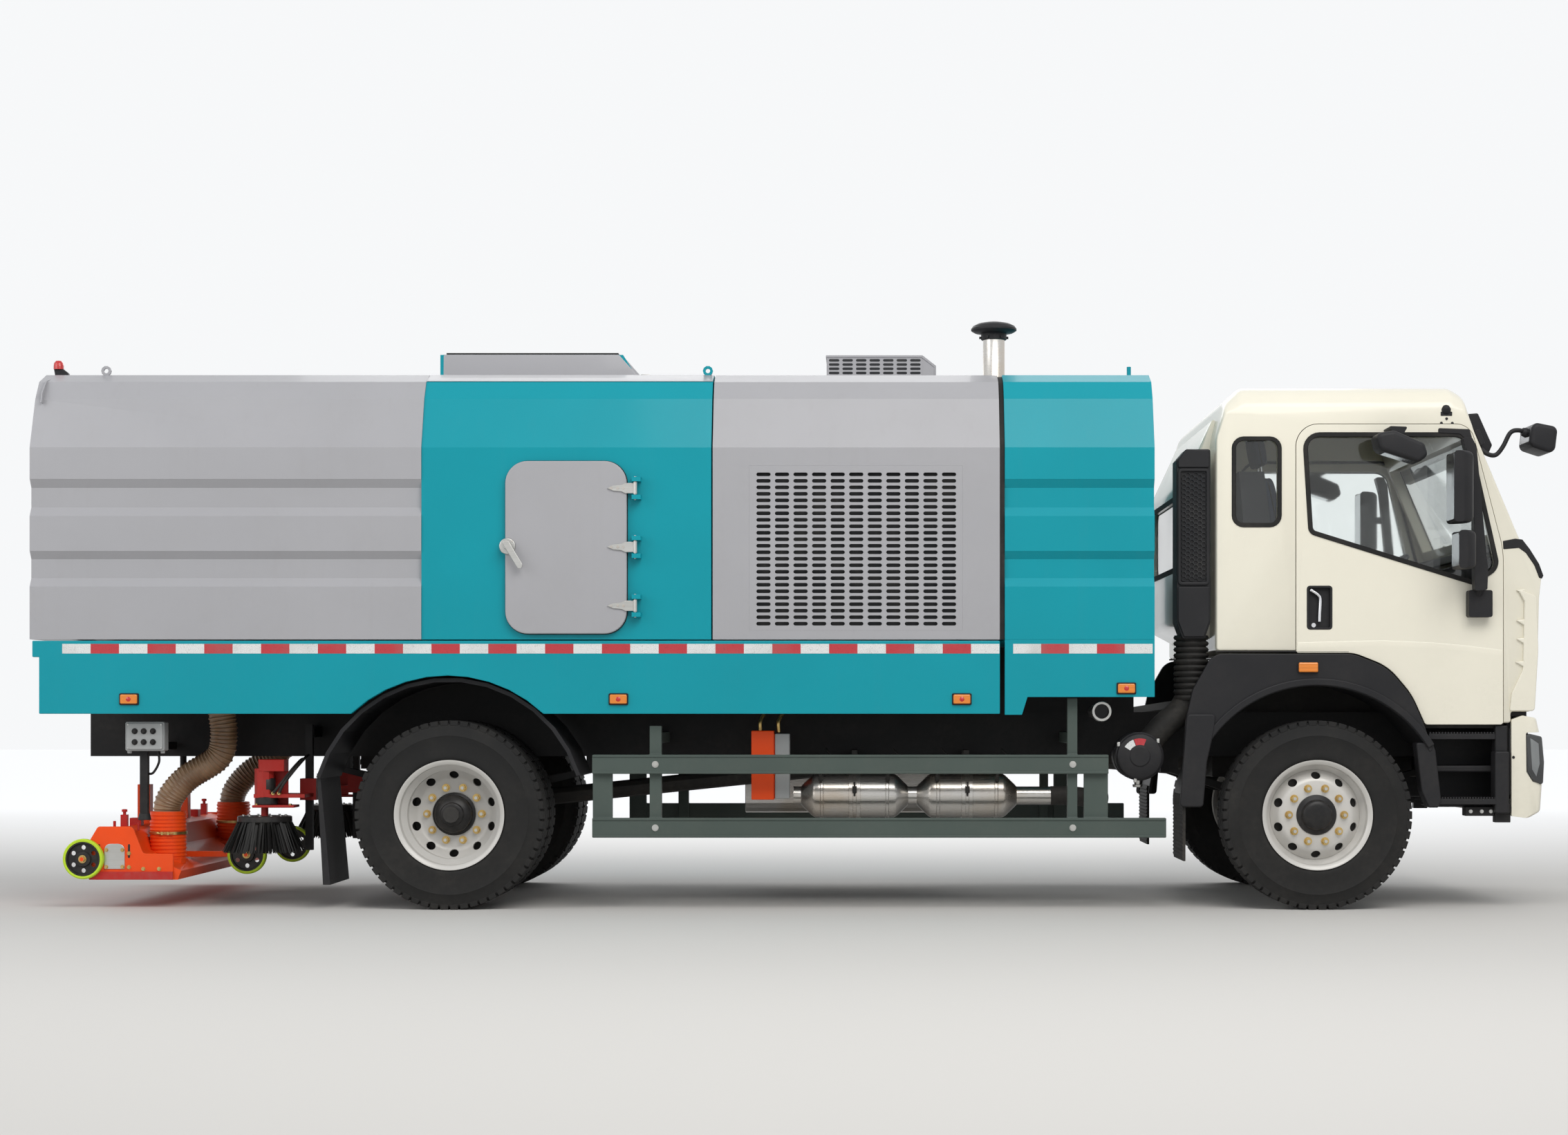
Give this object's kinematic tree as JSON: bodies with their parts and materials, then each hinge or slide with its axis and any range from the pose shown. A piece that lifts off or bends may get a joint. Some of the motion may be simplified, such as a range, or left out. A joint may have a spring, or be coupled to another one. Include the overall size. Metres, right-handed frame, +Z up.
{
  "type": "street sweeper truck",
  "caption": "Wash-and-sweep truck with a cream cab, gray and teal closed body tipping rearwards, suction nozzle, hoses and side brushes behind the rear axle",
  "frame": {"origin": "centre of the box that holds the truck, on the ground", "axes": "+X forwards, +Y to the left side, +Z up"},
  "size_m": [8.252, 2.92, 3.266],
  "materials": {
    "black_parts": "satin black",
    "tyre": "matte rubber",
    "rim": "silver-gray paint",
    "teal_paint": "gloss teal paint",
    "gray_paint": "light gray paint",
    "cream_paint": "gloss cream paint",
    "guard_paint": "gray-green paint",
    "orange_paint": "orange-red paint",
    "hose": "ribbed translucent brown hose",
    "lime_rubber": "lime tyre on black hub",
    "bristles": "black bristles",
    "cast_parts": "dark cast metal",
    "stainless": "brushed stainless",
    "cab_trim": "dark trim",
    "chrome_rod": "polished rod"
  },
  "bodies": {
    "chassis": {"chassis_frame": "black_parts", "front_axle": "cast_parts", "rear_axle": "cast_parts", "main_engine": "cast_parts", "exhaust_canisters": "stainless", "fuel_tank": "stainless", "valve_box": "orange_paint", "air_intake": "black_parts", "engine_bay": "gray_paint", "auxiliary_engine": "cast_parts", "exhaust_stack": "stainless", "water_box": "teal_paint", "front_bumper": "cream_paint", "control_box": "gray_paint", "sill_r": "teal_paint", "rear_mudguard_r": "black_parts", "side_guard_r": "guard_paint", "side_grille_r": "gray_paint", "front_fender_r": "black_parts", "suction_hose_r": "hose", "sill_l": "teal_paint", "rear_mudguard_l": "black_parts", "side_guard_l": "guard_paint", "side_grille_l": "gray_paint", "front_fender_l": "black_parts", "suction_hose_l": "hose"},
    "cab": {"cab_shell": "cream_paint", "cab_interior": "cab_trim", "front_mirror": "black_parts"},
    "hopper": {"hopper_rear_shell": "gray_paint", "hopper_front_shell": "teal_paint"},
    "rear_door": {"rear_door": "gray_paint"},
    "service_door": {"service_door": "gray_paint"},
    "tipping_barrel": {"tipping_barrel": "black_parts"},
    "tipping_rod": {"tipping_rod": "chrome_rod"},
    "nozzle": {"suction_nozzle": "orange_paint"},
    "knuckle_r": {"knuckle_r": "black_parts"},
    "front_wheel_r": {"front_tyre_r": "tyre", "front_rim_r": "rim"},
    "rear_wheels_r": {"rear_tyre_outer_r": "tyre", "rear_tyre_inner_r": "tyre", "rear_rim_r": "rim"},
    "cab_door_r": {"cab_door_r": "cream_paint", "door_mirrors_r": "black_parts"},
    "nozzle_wheel_rear_r": {"nozzle_wheel_rear_r": "lime_rubber"},
    "nozzle_wheel_front_r": {"nozzle_wheel_front_r": "lime_rubber"},
    "brush_carriage_r": {"brush_carriage_r": "orange_paint"},
    "side_brush_r": {"side_brush_r": "bristles"},
    "knuckle_l": {"knuckle_l": "black_parts"},
    "front_wheel_l": {"front_tyre_l": "tyre", "front_rim_l": "rim"},
    "rear_wheels_l": {"rear_tyre_outer_l": "tyre", "rear_tyre_inner_l": "tyre", "rear_rim_l": "rim"},
    "cab_door_l": {"cab_door_l": "cream_paint", "door_mirrors_l": "black_parts"},
    "nozzle_wheel_rear_l": {"nozzle_wheel_rear_l": "lime_rubber"},
    "nozzle_wheel_front_l": {"nozzle_wheel_front_l": "lime_rubber"},
    "brush_carriage_l": {"brush_carriage_l": "orange_paint"},
    "side_brush_l": {"side_brush_l": "bristles"}
  },
  "joints": [
    {"name": "steer_r", "type": "hinge", "parent": "chassis", "child": "knuckle_r", "pos_m": [2.823, -0.8, 0.5125], "axis": [0, 0, 1], "range_deg": [-35, 35]},
    {"name": "front_wheel_spin_r", "type": "hinge", "parent": "knuckle_r", "child": "front_wheel_r", "pos_m": [2.823, -1.058, 0.5125], "axis": [0, 1, 0], "continuous": true},
    {"name": "rear_wheels_spin_r", "type": "hinge", "parent": "chassis", "child": "rear_wheels_r", "pos_m": [-1.877, -1.058, 0.5125], "axis": [0, 1, 0], "continuous": true},
    {"name": "steer_l", "type": "hinge", "parent": "chassis", "child": "knuckle_l", "pos_m": [2.823, 0.8, 0.5125], "axis": [0, 0, 1], "range_deg": [-35, 35]},
    {"name": "front_wheel_spin_l", "type": "hinge", "parent": "knuckle_l", "child": "front_wheel_l", "pos_m": [2.823, 1.058, 0.5125], "axis": [0, 1, 0], "continuous": true},
    {"name": "rear_wheels_spin_l", "type": "hinge", "parent": "chassis", "child": "rear_wheels_l", "pos_m": [-1.877, 1.058, 0.5125], "axis": [0, 1, 0], "continuous": true},
    {"name": "cab_tilt", "type": "hinge", "parent": "chassis", "child": "cab", "pos_m": [3.925, 0, 1.3], "axis": [0, 1, 0], "range_deg": [0, 45]},
    {"name": "cab_door_r_swing", "type": "hinge", "parent": "cab", "child": "cab_door_r", "pos_m": [3.846, -1.148, 1.8], "axis": [0, 0, 1], "range_deg": [0, 70]},
    {"name": "cab_door_l_swing", "type": "hinge", "parent": "cab", "child": "cab_door_l", "pos_m": [3.846, 1.148, 1.8], "axis": [0, 0, -1], "range_deg": [0, 70]},
    {"name": "hopper_tip", "type": "hinge", "parent": "chassis", "child": "hopper", "pos_m": [-4.1, 0, 1.41], "axis": [0, -1, 0], "range_deg": [0, 45]},
    {"name": "rear_door_swing", "type": "hinge", "parent": "hopper", "child": "rear_door", "pos_m": [-4.1035, 0, 2.8385], "axis": [0, 1, 0], "range_deg": [0, 90]},
    {"name": "service_door_swing", "type": "hinge", "parent": "hopper", "child": "service_door", "pos_m": [-0.861, -1.284, 1.957], "axis": [0, 0, 1], "range_deg": [0, 100]},
    {"name": "tipping_barrel_swing", "type": "hinge", "parent": "chassis", "child": "tipping_barrel", "pos_m": [-1.4, 0, 1.2], "axis": [0, 1, 0], "range_deg": [0, 26.68]},
    {"name": "tipping_rod_slide", "type": "slide", "parent": "tipping_barrel", "child": "tipping_rod", "axis": [-0.993, 0, 0.1177], "range_m": [0, 0.6898]},
    {"name": "nozzle_lift", "type": "slide", "parent": "chassis", "child": "nozzle", "axis": [0, 0, 1], "range_m": [-0.14, 0]},
    {"name": "nozzle_wheel_rear_spin_r", "type": "hinge", "parent": "nozzle", "child": "nozzle_wheel_rear_r", "pos_m": [-3.885, -1.072, 0.27], "axis": [0, 1, 0], "continuous": true},
    {"name": "nozzle_wheel_front_spin_r", "type": "hinge", "parent": "nozzle", "child": "nozzle_wheel_front_r", "pos_m": [-3.1, -0.6, 0.27], "axis": [0, 1, 0], "continuous": true},
    {"name": "brush_lift_r", "type": "slide", "parent": "chassis", "child": "brush_carriage_r", "axis": [0, 0, 1], "range_m": [-0.26, 0]},
    {"name": "side_brush_spin_r", "type": "hinge", "parent": "brush_carriage_r", "child": "side_brush_r", "pos_m": [-2.93, -0.93, 0.5], "axis": [0, 0, 1], "continuous": true},
    {"name": "nozzle_wheel_rear_spin_l", "type": "hinge", "parent": "nozzle", "child": "nozzle_wheel_rear_l", "pos_m": [-3.885, 1.072, 0.27], "axis": [0, 1, 0], "continuous": true},
    {"name": "nozzle_wheel_front_spin_l", "type": "hinge", "parent": "nozzle", "child": "nozzle_wheel_front_l", "pos_m": [-3.1, 0.6, 0.27], "axis": [0, 1, 0], "continuous": true},
    {"name": "brush_lift_l", "type": "slide", "parent": "chassis", "child": "brush_carriage_l", "axis": [0, 0, 1], "range_m": [-0.26, 0]},
    {"name": "side_brush_spin_l", "type": "hinge", "parent": "brush_carriage_l", "child": "side_brush_l", "pos_m": [-2.93, 0.93, 0.5], "axis": [0, 0, 1], "continuous": true}
  ],
  "couplings": [
    {"joint": "steer_l", "follows": "steer_r", "ratio": 1},
    {"joint": "tipping_barrel_swing", "follows": "hopper_tip", "ratio": 0.59289},
    {"joint": "tipping_rod_slide", "follows": "hopper_tip", "m_per_rad": 0.87829}
  ]
}
